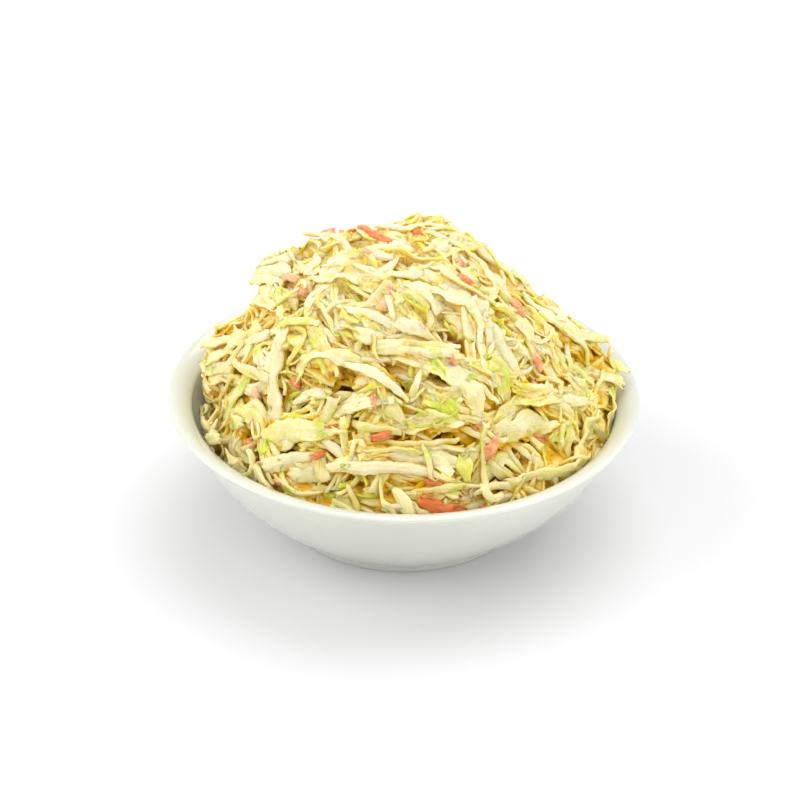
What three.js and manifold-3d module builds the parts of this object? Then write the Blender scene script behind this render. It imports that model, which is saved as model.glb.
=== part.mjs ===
// Coleslaw heaped in a round white bowl, as two solids: the bowl, and the heap of shredded
// cabbage and carrot that fills it and stands well above its rim.
//
// Millimetres, +Z up. The origin is the centre of the bowl's foot, on the surface that it
// stands on, and the salad is seen from the -Y side.
import * as THREE from "three";
import { mergeVertices } from "three/addons/utils/BufferGeometryUtils.js";
import Module from "manifold-3d";

const wasm = await Module();
wasm.setup();

// ---- driving dimensions -------------------------------------------------------------

const RIM_RADIUS = 90; // outer edge of the turned-out lip
const BOWL_HEIGHT = 52.4;
const LIP_OVERHANG = 5.9; // how far the lip stands out beyond the wall
const LIP_THICKNESS = 2.4;
const WALL_THICKNESS = 3.2;
const FOOT_RADIUS = 48.3;
const FOOT_HEIGHT = 3;
const FOOT_RING_WIDTH = 4.5;
const FOOT_RECESS = 1.8; // height of the underside inside the foot ring
const BOWL_SEGMENTS = 48;
const CURVE_STEPS = 6; // straight steps in each curve of the bowl's outline

const HEAP_CENTRE = new THREE.Vector3(0, 0, 44); // the heap is nearly a ball about this point
const HEAP_LEAN = new THREE.Vector2(-4, 2); // how far its peak stands to one side
const HEAP_RADIUS = 68;
const HEAP_FLARE = 11.5; // extra radius where the heap spreads at the bowl's wall
// Where the heap stands out of that form, or falls back from it where the height is
// negative: azimuth and polar angle in degrees, height, and breadth in degrees.
const HEAP_SWELLS = [
  [170, 75, 5, 14],
  [164, 59, -5, 9],
  [157, 49, 5, 11],
  [60, 28, 3, 15],
  [-100, 8, 1.5, 12],
  [14, 78, 7, 19],
  [-172, 92, -6, 20],
];
const CORE_DEPTH = 3; // the solid core lies this far under the heap's outer form
const CORE_SEGMENTS = 40;
const CORE_DOME_ROWS = 10;
const CORE_RELIEF = 1.7; // height of the dips and bumps between the shreds
const WALL_GAP = 0.5; // the heap stays this far from the bowl

const LEAF_COUNT = 13;
const SHRED_COUNT = 52;
const CARROT_COUNT = 6;
const SEED = 20;

// ---- small helpers ------------------------------------------------------------------

// A seeded random number generator: the same heap each time.
function randomFrom(seed) {
  let state = seed >>> 0;
  return () => {
    state = (state + 0x6d2b79f5) >>> 0;
    let mixed = Math.imul(state ^ (state >>> 15), 1 | state);
    mixed = (mixed + Math.imul(mixed ^ (mixed >>> 7), 61 | mixed)) ^ mixed;
    return ((mixed ^ (mixed >>> 14)) >>> 0) / 2 ** 32;
  };
}

const random = randomFrom(SEED);
const between = (low, high) => low + (high - low) * random();
const degrees = THREE.MathUtils.degToRad;

function surfaceGeometry(positions, triangles) {
  const geometry = new THREE.BufferGeometry();
  geometry.setAttribute("position", new THREE.Float32BufferAttribute(positions, 3));
  geometry.setIndex(new THREE.Uint32BufferAttribute(triangles, 1));
  return geometry;
}

// A closed surface as a solid that can be joined to others.
function solidFrom(geometry) {
  const merged = mergeVertices(geometry, 1e-3);
  const vertProperties = merged.attributes.position.array;
  const triVerts = new Uint32Array(merged.index.array);
  return new wasm.Manifold(new wasm.Mesh({ numProp: 3, vertProperties, triVerts }));
}

function geometryFrom(solid) {
  const { vertProperties, triVerts } = solid.getMesh();
  const geometry = surfaceGeometry(vertProperties, triVerts);
  geometry.computeVertexNormals();
  return geometry;
}

// ---- the bowl -----------------------------------------------------------------------

const wallFoot = new THREE.Vector2(FOOT_RADIUS + 1, FOOT_HEIGHT);
const wallTop = new THREE.Vector2(RIM_RADIUS - LIP_OVERHANG, BOWL_HEIGHT - 5);

// The outer face of the wall, from the foot up to the neck under the lip.
const outerWall = new THREE.CubicBezierCurve(
  wallFoot,
  new THREE.Vector2(wallFoot.x + 16, wallFoot.y + 12.5),
  new THREE.Vector2(wallTop.x - 2.8, wallTop.y - 17),
  wallTop,
);

// Points of the wall at a depth under its outer face, from the foot up.
function wallPoints(depth, steps) {
  const points = [];
  for (let i = 0; i <= steps; i++) {
    const share = i / steps;
    const tangent = outerWall.getTangent(share);
    const inward = new THREE.Vector2(-tangent.y, tangent.x);
    points.push(outerWall.getPoint(share).addScaledVector(inward, depth));
  }
  return points;
}

// The bowl's inside from the middle of its floor up to the neck, at a gap above its face.
function innerPoints(gap, steps) {
  const depth = WALL_THICKNESS + gap;
  const floor = new THREE.Vector2(0, FOOT_RECESS + WALL_THICKNESS + gap);
  return [floor, ...wallPoints(depth, steps)];
}

// The half-round lip, from under its outer edge over the top to its inner edge.
function lipPoints() {
  const innerEdge = wallTop.x - WALL_THICKNESS + 2.6;
  return [
    new THREE.Vector2(RIM_RADIUS - 2.6, BOWL_HEIGHT - LIP_THICKNESS - 0.6),
    new THREE.Vector2(RIM_RADIUS - 0.5, BOWL_HEIGHT - LIP_THICKNESS * 0.62),
    new THREE.Vector2(RIM_RADIUS, BOWL_HEIGHT - LIP_THICKNESS * 0.3),
    new THREE.Vector2(RIM_RADIUS - 1, BOWL_HEIGHT),
    new THREE.Vector2(RIM_RADIUS - 3.4, BOWL_HEIGHT - 0.1),
    new THREE.Vector2(innerEdge, BOWL_HEIGHT - 1.8),
  ];
}

function bowlGeometry() {
  const footInner = FOOT_RADIUS - FOOT_RING_WIDTH;
  const inside = innerPoints(0, CURVE_STEPS).reverse();
  const outline = [
    new THREE.Vector2(0, FOOT_RECESS),
    new THREE.Vector2(footInner - 1, FOOT_RECESS),
    new THREE.Vector2(footInner, 0),
    new THREE.Vector2(FOOT_RADIUS - 1, 0),
    new THREE.Vector2(FOOT_RADIUS, 1),
    ...wallPoints(0, CURVE_STEPS),
    ...lipPoints(),
    ...inside,
  ];
  return new THREE.LatheGeometry(outline, BOWL_SEGMENTS).rotateX(Math.PI / 2);
}

// The largest radius that the heap may have at a height: inside the wall below the lip,
// and within the rim above it.
function clearRadius(height) {
  if (height > BOWL_HEIGHT + WALL_GAP) return RIM_RADIUS - WALL_GAP;
  const inside = [...innerPoints(WALL_GAP, CURVE_STEPS), lipPoints().at(-1)];
  for (let i = 1; i < inside.length; i++) {
    const [low, high] = [inside[i - 1], inside[i]];
    if (height > high.y) continue;
    const share = Math.max(0, (height - low.y) / (high.y - low.y));
    return low.x + (high.x - low.x) * share;
  }
  return inside.at(-1).x - WALL_GAP;
}

// ---- the heap's form ----------------------------------------------------------------

// The unit direction at an azimuth about +Z and an angle from +Z.
function directionAt(azimuth, polar) {
  const level = new THREE.Vector3(Math.cos(azimuth), Math.sin(azimuth), 0);
  return level.multiplyScalar(Math.sin(polar)).setZ(Math.cos(polar));
}

const swells = HEAP_SWELLS.map(([azimuth, polar, height, breadth]) => {
  return { peak: directionAt(degrees(azimuth), degrees(polar)), height, breadth: degrees(breadth) };
});

// The heap's radius in a direction: a ball that spreads where it meets the bowl, with its
// broad swells and hollows.
function heapRadius(direction) {
  const polar = Math.acos(THREE.MathUtils.clamp(direction.z, -1, 1));
  const flare = HEAP_FLARE * Math.pow(polar / (Math.PI / 2), 6);
  return swells.reduce((radius, { peak, height, breadth }) => {
    return radius + height * Math.exp(-Math.pow(direction.angleTo(peak) / breadth, 2));
  }, HEAP_RADIUS + flare);
}

// The point at a lift above the heap's outer form, or below it where lift is negative.
function heapPoint(direction, lift) {
  const point = direction.clone().multiplyScalar(heapRadius(direction) + lift).add(HEAP_CENTRE);
  point.x += HEAP_LEAN.x * direction.z;
  point.y += HEAP_LEAN.y * direction.z;
  return point;
}

// The solid middle of the heap: its underside follows the bowl, and its rough top lies
// just under the outer shreds.
function coreGeometry() {
  const underside = innerPoints(WALL_GAP, CURVE_STEPS).filter((p) => p.y < HEAP_CENTRE.z);
  const rings = underside.slice(1).map(({ x, y }) => (azimuth) => {
    return new THREE.Vector3(x * Math.cos(azimuth), x * Math.sin(azimuth), y);
  });
  for (let row = CORE_DOME_ROWS; row > 0; row--) {
    const polar = (Math.PI / 2) * (row / (CORE_DOME_ROWS + 0.5));
    rings.push((azimuth) => {
      const relief = between(-CORE_RELIEF, CORE_RELIEF) * Math.min(1, polar);
      return settle(heapPoint(directionAt(azimuth, polar), relief - CORE_DEPTH));
    });
  }
  const peak = heapPoint(new THREE.Vector3(0, 0, 1), -CORE_DEPTH);
  const positions = [0, 0, underside[0].y, ...peak.toArray()];
  const triangles = [];
  const at = (ring, k) => 2 + ring * CORE_SEGMENTS + (k % CORE_SEGMENTS);
  rings.forEach((point, ring) => {
    for (let k = 0; k < CORE_SEGMENTS; k++) {
      positions.push(...point((2 * Math.PI * k) / CORE_SEGMENTS).toArray());
      if (ring === 0) {
        triangles.push(0, at(0, k + 1), at(0, k));
        continue;
      }
      triangles.push(at(ring - 1, k), at(ring - 1, k + 1), at(ring, k + 1));
      triangles.push(at(ring - 1, k), at(ring, k + 1), at(ring, k));
      if (ring === rings.length - 1) triangles.push(1, at(ring, k), at(ring, k + 1));
    }
  });
  return surfaceGeometry(positions, triangles);
}

// The point, moved in towards the axis where it would touch the bowl.
function settle(point) {
  const radius = Math.hypot(point.x, point.y);
  const most = clearRadius(point.z);
  if (radius <= most) return point;
  return new THREE.Vector3((point.x * most) / radius, (point.y * most) / radius, point.z);
}

// ---- shreds, leaves and carrot pieces -----------------------------------------------

// A closed thin solid from rows of points on its upper face: the lower face is the same
// grid, a thickness further in, and both are split into triangles alike.
function thinGeometry(rows, inward, thickness) {
  const columns = rows[0].length;
  const upperCount = rows.length * columns;
  const upper = rows.flat();
  const lower = upper.map((point, i) => {
    return point.clone().addScaledVector(inward[Math.floor(i / columns)], thickness);
  });
  const positions = [...upper, ...lower].flatMap((p) => p.toArray());
  const triangles = [];
  const quad = (a, b, c, d) => triangles.push(a, b, c, a, c, d);
  const at = (row, column) => row * columns + column;
  for (let i = 0; i + 1 < rows.length; i++) {
    for (let j = 0; j + 1 < columns; j++) {
      const [a, b, c, d] = [at(i, j), at(i + 1, j), at(i + 1, j + 1), at(i, j + 1)];
      quad(a, b, c, d);
      triangles.push(upperCount + a, upperCount + c, upperCount + b);
      triangles.push(upperCount + a, upperCount + d, upperCount + c);
    }
    const last = columns - 1;
    quad(at(i, 0), upperCount + at(i, 0), upperCount + at(i + 1, 0), at(i + 1, 0));
    quad(at(i + 1, last), upperCount + at(i + 1, last), upperCount + at(i, last), at(i, last));
  }
  const end = rows.length - 1;
  for (let j = 0; j + 1 < columns; j++) {
    quad(at(0, j + 1), upperCount + at(0, j + 1), upperCount + at(0, j), at(0, j));
    quad(at(end, j), upperCount + at(end, j), upperCount + at(end, j + 1), at(end, j + 1));
  }
  return surfaceGeometry(positions, triangles);
}

// One piece of salad that lies along the heap. Its middle is at azimuth and polar. It runs
// at heading, counted from level and up, and turns by bend between its two ends. It stands
// lift above the heap's outer form, its middle arches up by arch, and each end rises by its
// own share of ends or, where that is negative, dips into the heap.
function saladPiece(piece) {
  const { azimuth, polar, heading, length, width, thickness, bend, lift } = piece;
  const { stations = 5, columns = 2, arch = 0, ends = [-3, -3] } = piece;
  const { roll = 0, cup = 0, ruffle = 0, taper = 0.45 } = piece;
  const middle = directionAt(azimuth, polar);
  const level = new THREE.Vector3(-Math.sin(azimuth), Math.cos(azimuth), 0);
  const walk = [];
  for (let i = 0; i < stations; i++) {
    const share = i / (stations - 1);
    const along = ((share - 0.5) * length) / heapRadius(middle);
    const course = level.clone().applyAxisAngle(middle, heading + bend * (share - 0.5));
    const direction = middle.clone().addScaledVector(course, along).normalize();
    const endRise = ends[0] * Math.pow(1 - share, 3) + ends[1] * Math.pow(share, 3);
    walk.push(heapPoint(direction, lift + endRise + arch * Math.sin(Math.PI * share)));
  }
  const rows = [];
  const inward = [];
  walk.forEach((point, i) => {
    const share = i / (stations - 1);
    const before = walk[Math.max(0, i - 1)];
    const after = walk[Math.min(stations - 1, i + 1)];
    const tangent = after.clone().sub(before).normalize();
    const out = point.clone().sub(HEAP_CENTRE).normalize();
    const side = new THREE.Vector3().crossVectors(out, tangent).normalize();
    const face = new THREE.Vector3().crossVectors(tangent, side).applyAxisAngle(tangent, roll);
    side.applyAxisAngle(tangent, roll);
    const half = (width / 2) * (1 - (1 - taper) * Math.pow(Math.abs(2 * share - 1), 2.5));
    const row = [];
    for (let j = 0; j < columns; j++) {
      const across = (2 * j) / (columns - 1) - 1;
      const wave = ruffle * Math.sin(share * 11 + azimuth * 5 + across) * Math.abs(across);
      const rise = cup * (across * across - 0.5) + wave;
      row.push(point.clone().addScaledVector(side, across * half).addScaledVector(face, rise));
    }
    inward.push(face.clone().negate());
    rows.push(keepClear(row, inward.at(-1), thickness));
  });
  return thinGeometry(rows, inward, thickness);
}

// A row of points, all moved in together where one of them would touch the bowl.
function keepClear(row, inward, thickness) {
  const moved = row.map((point) => point.clone());
  for (let round = 0; round < 4; round++) {
    let excess = 0;
    for (const point of moved) {
      for (const p of [point, point.clone().addScaledVector(inward, thickness)]) {
        excess = Math.max(excess, Math.hypot(p.x, p.y) - clearRadius(p.z));
      }
    }
    if (excess <= 0) break;
    const centre = moved.reduce((sum, p) => sum.add(p), new THREE.Vector3());
    const pull = new THREE.Vector3(-centre.x, -centre.y, 0).setLength(excess + 0.05);
    moved.forEach((point) => point.add(pull));
  }
  return moved;
}

// Places all over the dome, a little closer together low down, from a spiral of the golden
// angle with some play. A piece may run at any slope, but lies nearly level by the wall.
function placesOverHeap(count, start) {
  const goldenAngle = Math.PI * (3 - Math.sqrt(5));
  const places = [];
  for (let i = 0; i < count; i++) {
    const drop = 0.97 * Math.pow((i + 0.5) / count, 0.8);
    const polar = Math.acos(1 - drop) + between(-0.04, 0.04);
    const slope = 1.2 * (1 - 0.85 * Math.pow(polar / (Math.PI / 2), 8));
    const azimuth = start + i * goldenAngle + between(-0.12, 0.12);
    places.push({ azimuth, polar, heading: between(-slope, slope) });
  }
  return places;
}

// One end dips into the heap and the other does too, or stands free of it.
function looseEnds() {
  const free = random() < 0.3 ? between(0.5, 4) : between(-6, -3);
  return random() < 0.5 ? [between(-7, -4), free] : [free, between(-7, -4)];
}

function leafPiece(place) {
  return saladPiece({
    ...place,
    length: between(20, 32),
    width: between(8, 13),
    thickness: 1.5,
    bend: between(-0.6, 0.6),
    lift: between(-0.5, 1.5),
    arch: between(0, 2),
    ends: looseEnds(),
    columns: 3,
    roll: between(-0.45, 0.45),
    cup: between(-1.6, 1.6),
    ruffle: between(0.5, 1.4),
    taper: between(0.35, 0.8),
  });
}

function shredPiece(place) {
  return saladPiece({
    ...place,
    length: between(26, 46),
    width: between(3.6, 6.6),
    thickness: between(1.6, 2.2),
    bend: between(-0.9, 0.9),
    lift: between(-0.5, 1.5),
    arch: between(0.5, 2.5),
    ends: looseEnds(),
    roll: between(-0.7, 0.7),
  });
}

function carrotPiece(place) {
  return saladPiece({
    ...place,
    length: between(9, 14),
    width: between(3, 4.5),
    thickness: 2.4,
    bend: between(-0.4, 0.4),
    lift: between(-0.5, 1),
    ends: [between(-3, -1), between(-3, -1)],
    stations: 4,
    roll: between(-0.4, 0.4),
  });
}

// The pieces that show most, from the peak down: azimuth, polar, heading and bend in
// degrees, then length and width, then how far the piece stands out and its middle arches.
const LARGEST_PIECES = [
  [140, 12, 85, 14, 22, 4.5, 2.5, 1], // the largest carrot piece near the peak
  [61, 26, 25, 0, 24, 5, 2, 1],
  [-60, 12, 10, 30, 30, 5, 2.5, 1],
  [-130, 24, 14, 13, 27, 11, 2.5, 1],
  [-52, 36, -99, -30, 20, 9, 3, 0],
  [166, 44, 48, -20, 34, 9, 3.5, 1],
  [-166, 45, 25, -5, 28, 8, 3, 1],
  [-80, 42, -4, -5, 34, 5, 2.5, 1],
  [-116, 50, 19, -55, 52, 6, 3, 1.5],
  [-67, 59, -39, -8, 26, 9, 2.5, 0],
  [2, 62, -49, 4, 40, 5, 3, 1],
  [-139, 62, -88, -5, 42, 6, 3, 1],
  [-147, 62, 2, -6, 32, 4, 2, 1],
  [-80, 64, -4, -10, 26, 7, 2.5, 1],
  [-122, 71, 22, -4, 38, 7.5, 2.5, 1],
  [-48, 74, 0, -10, 32, 9, 2, 1],
  [-92, 77, 1, -29, 54, 5.5, 1.5, 1],
  [-125, 80, 30, -11, 32, 8, 0.5, 1],
  [-40, 84, 0, -6, 54, 9, -0.5, 1],
  [11, 80, 40, 10, 26, 5, 4, 3],
  [22, 84, 15, 0, 24, 4.5, 4.5, 2],
  [172, 74, 20, 10, 30, 6, 2, 1],
  [-77, 83, -13, -3, 18, 4.5, 1, 0.5], // the largest carrot piece, at the front
];

function largePiece([azimuth, polar, heading, bend, length, width, lift, arch]) {
  const wide = width > 7.8;
  return saladPiece({
    azimuth: degrees(azimuth),
    polar: degrees(polar),
    heading: degrees(heading),
    bend: degrees(bend),
    length,
    width,
    thickness: wide ? 1.6 : 2.2,
    lift,
    arch,
    ends: [-7, -6],
    stations: length > 30 ? 6 : 5,
    columns: wide ? 3 : 2,
    cup: wide ? 1.4 : 0,
    ruffle: wide ? 0.8 : 0,
    roll: between(-0.25, 0.25),
    taper: 0.6,
  });
}

function coleslawGeometry() {
  const pieces = [
    ...LARGEST_PIECES.map(largePiece),
    ...placesOverHeap(LEAF_COUNT, 0.4).map(leafPiece),
    ...placesOverHeap(SHRED_COUNT, 1.9).map(shredPiece),
    ...placesOverHeap(CARROT_COUNT, 3.1).map(carrotPiece),
  ];
  const fused = wasm.Manifold.union([coreGeometry(), ...pieces].map(solidFrom));
  const largest = fused.decompose().reduce((a, b) => (a.volume() > b.volume() ? a : b));
  return geometryFrom(largest);
}

// ---- the assembled part -------------------------------------------------------------

const glaze = new THREE.MeshStandardMaterial({ color: 0xeceee6, roughness: 0.18, metalness: 0 });
const cabbage = new THREE.MeshStandardMaterial({ color: 0xeee3ae, roughness: 0.5, metalness: 0 });

const bowl = new THREE.Mesh(bowlGeometry(), glaze);
bowl.name = "bowl";

const coleslaw = new THREE.Mesh(coleslawGeometry(), cabbage);
coleslaw.name = "coleslaw";

const servedColeslaw = new THREE.Group();
servedColeslaw.add(bowl, coleslaw);

export default servedColeslaw;
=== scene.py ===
"""The looks of a heap of coleslaw in a round white bowl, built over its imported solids.

Lengths are in millimetres until a mesh is made, and the frame is the solids' own: +Z up,
the origin at the centre of the bowl's foot, and the viewer on the -Y side. A place on the
heap is an azimuth, from +X towards +Y, and a polar angle, from +Z down, about its centre.
"""
import math

import bpy
import numpy as np
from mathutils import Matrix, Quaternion, Vector


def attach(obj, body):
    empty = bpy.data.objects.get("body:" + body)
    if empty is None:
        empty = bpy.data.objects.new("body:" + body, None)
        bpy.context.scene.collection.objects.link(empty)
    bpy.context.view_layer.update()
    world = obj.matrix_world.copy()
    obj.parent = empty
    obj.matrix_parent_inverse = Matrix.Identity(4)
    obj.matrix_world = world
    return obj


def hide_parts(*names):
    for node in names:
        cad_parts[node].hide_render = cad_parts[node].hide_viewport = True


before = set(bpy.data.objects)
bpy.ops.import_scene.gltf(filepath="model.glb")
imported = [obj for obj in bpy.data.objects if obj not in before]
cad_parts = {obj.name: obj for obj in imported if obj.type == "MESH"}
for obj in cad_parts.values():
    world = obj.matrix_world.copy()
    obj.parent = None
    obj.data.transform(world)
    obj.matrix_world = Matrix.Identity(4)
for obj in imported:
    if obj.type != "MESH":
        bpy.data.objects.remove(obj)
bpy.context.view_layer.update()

MM = 0.001
rng = np.random.default_rng(11)
# A random number between two others, and as many of them as a third one says.
pick = rng.uniform

# ---- the bowl's sizes ----

RIM_RADIUS = 90.0
BOWL_HEIGHT = 52.4
LIP_OVERHANG = 5.9
LIP_THICKNESS = 2.4
WALL_THICKNESS = 3.2
FOOT_RADIUS = 48.3
FOOT_HEIGHT = 3.0
FOOT_RING_WIDTH = 4.5
FOOT_RECESS = 1.8
BOWL_TURNS = 192
WALL_STEPS = 40
FLAT_STEPS = 8
CORNER_CUTS = 3

# ---- the heap's sizes ----

CENTRE = np.array([0.0, 0.0, 44.0])
LEAN = np.array([-4.0, 2.0, 0.0])
HEAP_RADIUS = 68.0
HEAP_FLARE = 11.5
# Azimuth and polar angle in degrees, height, and breadth in degrees.
HEAP_SWELLS = [
    (170, 75, 5, 14), (164, 59, -5, 9), (157, 49, 5, 11), (60, 28, 3, 15), (-100, 8, 1.5, 12),
    (14, 78, 7, 19), (-172, 92, -7, 20), (11, 90, 3, 8), (21, 63, -4.5, 8), (61, 28, 1.5, 6),
    (79, 25, 1.5, 8), (136, 34, 3.5, 7), (158, 49, 2.5, 5), (164, 58, -4.5, 6),
    (169, 76, 4, 8), (180, 84, 2.5, 10), (-36, 87, 3.5, 16),
]
# The pile of shreds starts this far under the heap's form, and stays clear of the wall.
PILE_DEPTH = 7.0
PILE_ROUGHNESS = 1.2
WALL_GAP = 0.4

PIECES_AT_RANDOM = 1600
POCKETS_AT_RANDOM = 80
SWEEPS_AT_RANDOM = 26
EDGE_PIECES = 170
CROSSING_STRANDS = 80

CORE_ROWS, CORE_TURNS = 150, 380
CORE_POLAR = (0.01, 1.66)
CORE_SINK = 0.9
CORE_BASE = (0, 0, 30)
POCKET_DEPTH = 4.0
# The salad fills the bowl to its wall up to this height, and draws in over the next few.
FILL_HEIGHT = 42.0
FILL_FADE = 4.0


# ---- small helpers ----


def unit(v):
    return v / np.maximum(np.linalg.norm(v, axis=-1, keepdims=True), 1e-9)


def smooth(values, rounds=1):
    for _ in range(rounds):
        padded = np.concatenate([values[:1], values, values[-1:]])
        values = 0.25 * padded[:-2] + 0.5 * padded[1:-1] + 0.25 * padded[2:]
    return values


def about(spread):
    return rng.normal(0, spread)


def pair(low, high):
    return tuple(pick(low, high, 2))


def wander(count, rounds=2):
    """Smooth random values of about unit size, one for each station."""
    values = smooth(rng.normal(size=count + 4), rounds)[2:-2]
    return values * (1.0 + 0.55 * rounds)


def direction(azimuth, polar):
    flat = np.sin(polar)
    up = np.cos(polar) + 0.0 * azimuth
    return np.stack([flat * np.cos(azimuth), flat * np.sin(azimuth), up], -1)


def direction_at(azimuth, polar):
    """The direction of a place that is given in degrees."""
    return direction(math.radians(azimuth), math.radians(polar))


def add_object(name, data):
    item = bpy.data.objects.new(name, data)
    bpy.context.scene.collection.objects.link(item)
    return item


def mesh_object(name, points, faces, attributes=None, smooth_shading=True):
    """A mesh from points in millimetres. A face that ends in -1 is a triangle, and an
    attribute has a number or a vector for each point."""
    mesh = bpy.data.meshes.new(name)
    faces = np.asarray(faces, np.int32)
    corners = np.sum(faces >= 0, axis=1)
    flat = faces[faces >= 0]
    mesh.vertices.add(len(points))
    mesh.vertices.foreach_set("co", (np.asarray(points) * MM).astype(np.float32).ravel())
    mesh.loops.add(len(flat))
    mesh.loops.foreach_set("vertex_index", flat)
    mesh.polygons.add(len(faces))
    mesh.polygons.foreach_set("loop_start", (np.cumsum(corners) - corners).astype(np.int32))
    mesh.update(calc_edges=True)
    mesh.validate()
    mesh.polygons.foreach_set("use_smooth", np.full(len(mesh.polygons), smooth_shading))
    for key, values in (attributes or {}).items():
        values = np.asarray(values, np.float32)
        kind, field_name = ("FLOAT", "value") if values.ndim == 1 else ("FLOAT_VECTOR", "vector")
        layer = mesh.attributes.new(key, kind, "POINT")
        layer.data.foreach_set(field_name, values.ravel())
    return add_object(name, mesh)


def tube_faces(rings, around):
    """The faces of a tube of rings with a fan over each end. The two last points are the
    fans' middles."""
    start = np.arange(rings - 1)[:, None] * around
    k = np.arange(around)
    after = (k + 1) % around
    quads = [start + k, start + after, start + around + after, start + around + k]
    last = (rings - 1) * around
    middle = np.full(around, rings * around)
    none = np.full(around, -1)
    first_fan = np.stack([middle, after, k, none], -1)
    last_fan = np.stack([middle + 1, last + k, last + after, none], -1)
    return np.concatenate([np.stack(quads, -1).reshape(-1, 4), first_fan, last_fan])


# ---- materials ----


class Nodes:
    """A short way to write a node material. Places and heights there are in metres."""

    def __init__(self, name):
        self.material = bpy.data.materials.new(name)
        self.material.use_nodes = True
        self.tree = self.material.node_tree
        self.tree.nodes.clear()
        output = self.tree.nodes.new("ShaderNodeOutputMaterial")
        self.shader = self.tree.nodes.new("ShaderNodeBsdfPrincipled")
        self.tree.links.new(self.shader.outputs[0], output.inputs["Surface"])

    def feed(self, node, inputs):
        for key, value in inputs.items():
            if isinstance(value, bpy.types.NodeSocket):
                self.tree.links.new(value, node.inputs[key])
            else:
                node.inputs[key].default_value = value

    def add(self, kind, inputs, output=0, **settings):
        node = self.tree.nodes.new("ShaderNode" + kind)
        for key, value in settings.items():
            setattr(node, key, value)
        self.feed(node, inputs)
        return node.outputs[output]

    def attribute(self, name, part="Fac"):
        return self.add("Attribute", {}, part, attribute_name=name)

    def position(self):
        return self.add("TexCoord", {}, "Object")

    def normal(self):
        return self.add("NewGeometry", {}, "Normal")

    def upward(self, vector):
        return self.add("SeparateXYZ", {0: vector}, "Z")

    def stretch(self, vector, across, along):
        return self.add("Mapping", {"Vector": vector, "Scale": (across, along, 1.0)})

    def noise(self, vector, scale, detail=2.0, roughness=0.5, distortion=0.0):
        inputs = {"Vector": vector, "Scale": scale, "Detail": detail}
        inputs.update({"Roughness": roughness, "Distortion": distortion})
        return self.add("TexNoise", inputs)

    def ramp(self, value, low, high, to_low=0.0, to_high=1.0):
        """A smooth step between two results as a value goes from low to high."""
        inputs = {"Value": value, "From Min": low, "From Max": high}
        inputs.update({"To Min": to_low, "To Max": to_high})
        return self.add("MapRange", inputs, interpolation_type="SMOOTHSTEP")

    def total(self, *terms):
        """The sum of values, each times its weight."""
        result = 0.0
        for value, weight in terms:
            inputs = {0: value, 1: weight, 2: result}
            result = self.add("Math", inputs, operation="MULTIPLY_ADD")
        return result

    def product(self, result, *values):
        for value in values:
            inputs = {0: result, 1: value}
            result = self.add("Math", inputs, operation="MULTIPLY")
        return result

    def mix(self, share, a, b):
        return self.add("Mix", {0: share, 6: a, 7: b}, 2, data_type="RGBA")

    def relief(self, *layers):
        """Bumps laid one over the other: what each follows, its height and its strength."""
        below = {}
        for pattern, distance, strength in layers:
            inputs = {"Height": pattern, "Distance": distance, "Strength": strength, **below}
            below = {"Normal": self.add("Bump", inputs)}
        return below["Normal"]

    def painted_shade_share(self, low, high, most=1.0):
        """How much painted shade a place gets, from how far it lies down among its neighbours.
        Light reaches into the hollows of the crown, so they get less of it."""
        crown = self.ramp(self.upward(self.position()), 0.075, 0.105, 1.0, 0.35)
        return self.product(self.ramp(self.attribute("depth"), low, high, 0.0, most), crown)

    def shade(self, **sockets):
        """The material, once the shader's sockets are set. A _ is a space in their names."""
        self.feed(self.shader, {key.replace("_", " "): value for key, value in sockets.items()})
        return self.material


def linear(red, green, blue):
    """A colour of 0 to 255 as the shader's linear values."""
    share = np.array([red, green, blue]) / 255.0
    low = share / 12.92
    high = ((share + 0.055) / 1.055) ** 2.4
    return (*(float(v) for v in np.where(share <= 0.04045, low, high)), 1.0)


# The cream is the dressing's colour and also the painted light on the tops; the ochre is painted
# shade for the hollows.
CREAM = linear(237, 228, 196)
LIME = linear(204, 214, 76)
OCHRE_SHADE = linear(228, 178, 4)


def glaze_material():
    n = Nodes("bowl_glaze")
    place = n.position()
    broad = n.noise(place, 18.0, 3.0)
    fine = n.noise(place, 420.0)
    speck = n.ramp(n.noise(place, 260.0, 4.0, 0.7), 0.70, 0.76, 0.0, 0.18)
    tint = n.mix(n.ramp(broad, 0.3, 0.7), linear(206, 208, 197), linear(211, 213, 203))
    n.shader.subsurface_method = "BURLEY"
    return n.shade(
        Base_Color=n.mix(speck, tint, linear(190, 186, 168)),
        Roughness=n.ramp(broad, 0.2, 0.8, 0.10, 0.19),
        Normal=n.relief((broad, 0.0006, 0.35), (fine, 0.00004, 0.35)),
        IOR=1.5,
        Coat_Weight=0.35,
        Coat_Roughness=0.06,
        Subsurface_Weight=0.5,
        Subsurface_Radius=(0.008, 0.008, 0.007),
        Subsurface_Scale=1.0,
    )


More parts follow.
